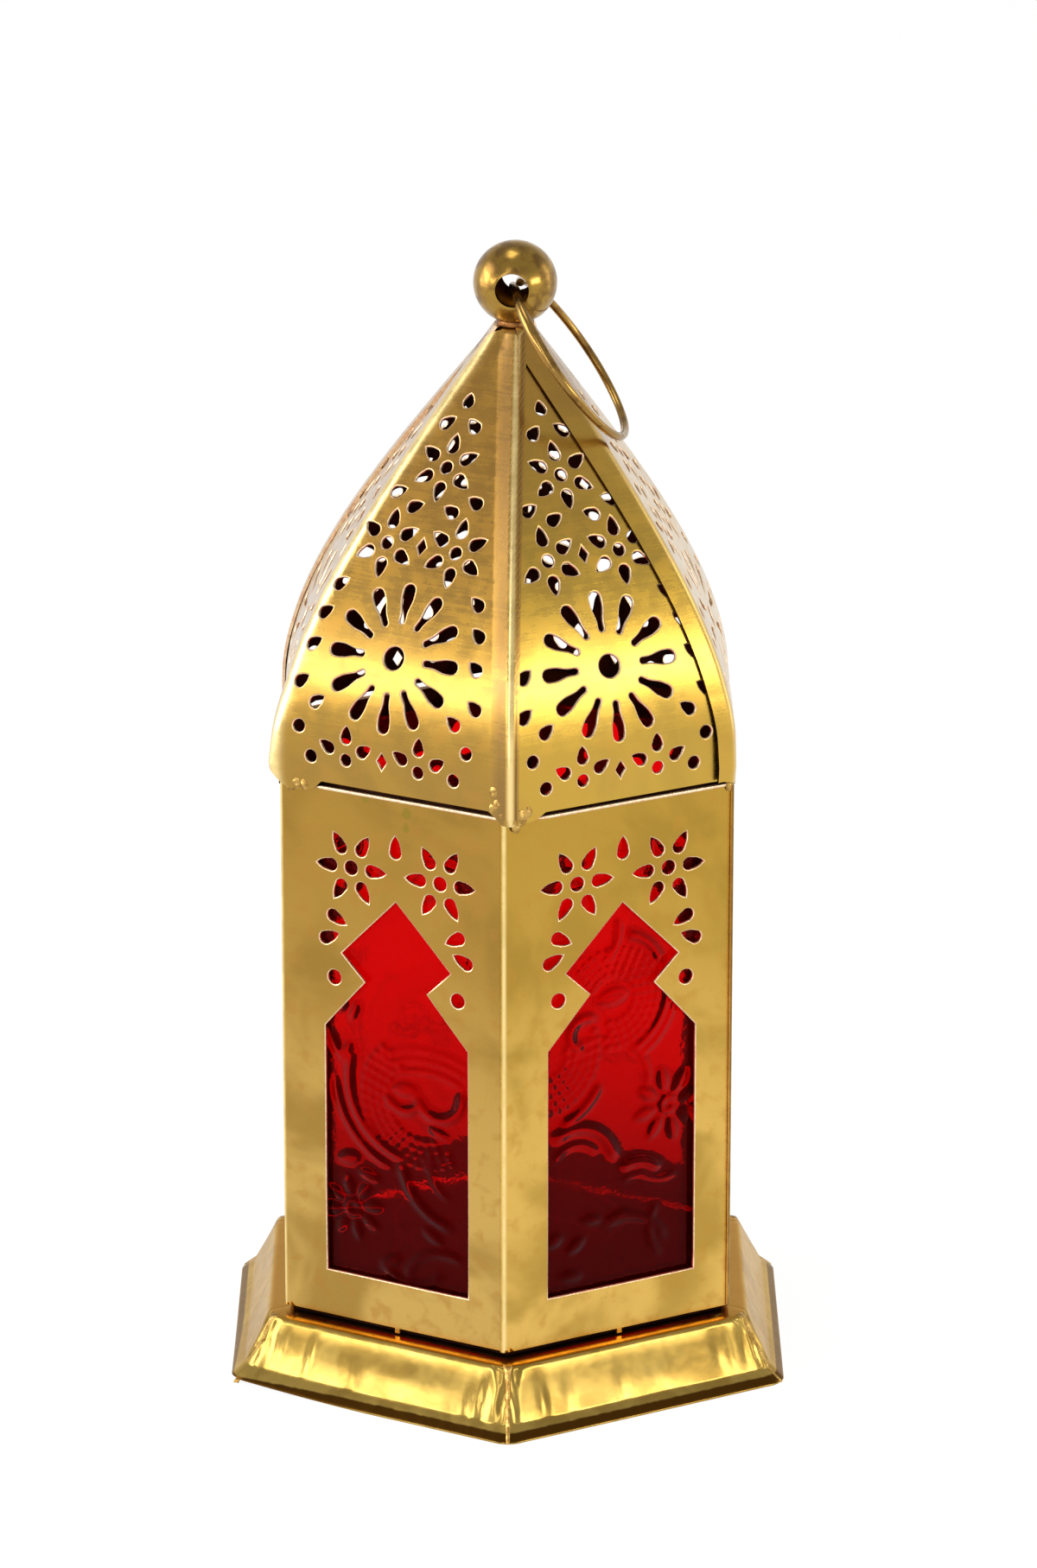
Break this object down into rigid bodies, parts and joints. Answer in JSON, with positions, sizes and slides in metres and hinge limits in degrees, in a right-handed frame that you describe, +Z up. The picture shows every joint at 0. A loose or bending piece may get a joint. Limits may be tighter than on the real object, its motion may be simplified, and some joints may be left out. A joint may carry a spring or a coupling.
{
  "type": "moroccan tealight lantern",
  "caption": "Hexagonal pierced-sheet tealight lantern with an ogive dome, pressed-glass panes, a hinged rear door, a moulded foot and a wire hanging ring through its ball finial.",
  "frame": {"origin": "centre of the hexagonal footprint on the surface it stands on", "axes": "+Z up along the lantern's axis; one corner of the hexagon faces -Y, the pictured front"},
  "size_m": [0.0984, 0.1136, 0.2014],
  "materials": {
    "brass_sheet": "satin",
    "aged_brass": "antique",
    "wire": "satin",
    "red_glass": "pressed pattern"
  },
  "bodies": {
    "lantern": {"base_moulding": "brass_sheet", "floor_plate": "aged_brass", "tealight_cup": "aged_brass", "panel_front_right": "brass_sheet", "panel_right": "brass_sheet", "panel_rear_right": "brass_sheet", "panel_left": "brass_sheet", "panel_front_left": "brass_sheet", "glass_front_right": "red_glass", "glass_right": "red_glass", "glass_rear_right": "red_glass", "glass_left": "red_glass", "glass_front_left": "red_glass", "hinge_leaf_lower": "aged_brass", "hinge_leaf_upper": "aged_brass", "hinge_pin_lower": "wire", "hinge_pin_upper": "wire", "dome_petal_front_right": "brass_sheet", "dome_petal_right": "brass_sheet", "dome_petal_rear_right": "brass_sheet", "dome_petal_rear_left": "brass_sheet", "dome_petal_left": "brass_sheet", "dome_petal_front_left": "brass_sheet", "finial_ball": "aged_brass"},
    "door": {"door_panel": "brass_sheet", "door_glass": "red_glass", "door_pull": "aged_brass", "door_leaf_lower": "aged_brass", "door_leaf_upper": "aged_brass"},
    "ring": {"hanging_ring": "wire"}
  },
  "joints": [
    {"name": "door_swing", "type": "hinge", "parent": "lantern", "child": "door", "pos_m": [0, 0.047, 0.0614], "axis": [0, 0, -1], "range_deg": [0, 110]},
    {"name": "ring_swing", "type": "hinge", "parent": "lantern", "child": "ring", "pos_m": [0.00136, 0, 0.19409], "axis": [-0.0872, -0.9962, 0], "range_deg": [0, 287.5]}
  ]
}
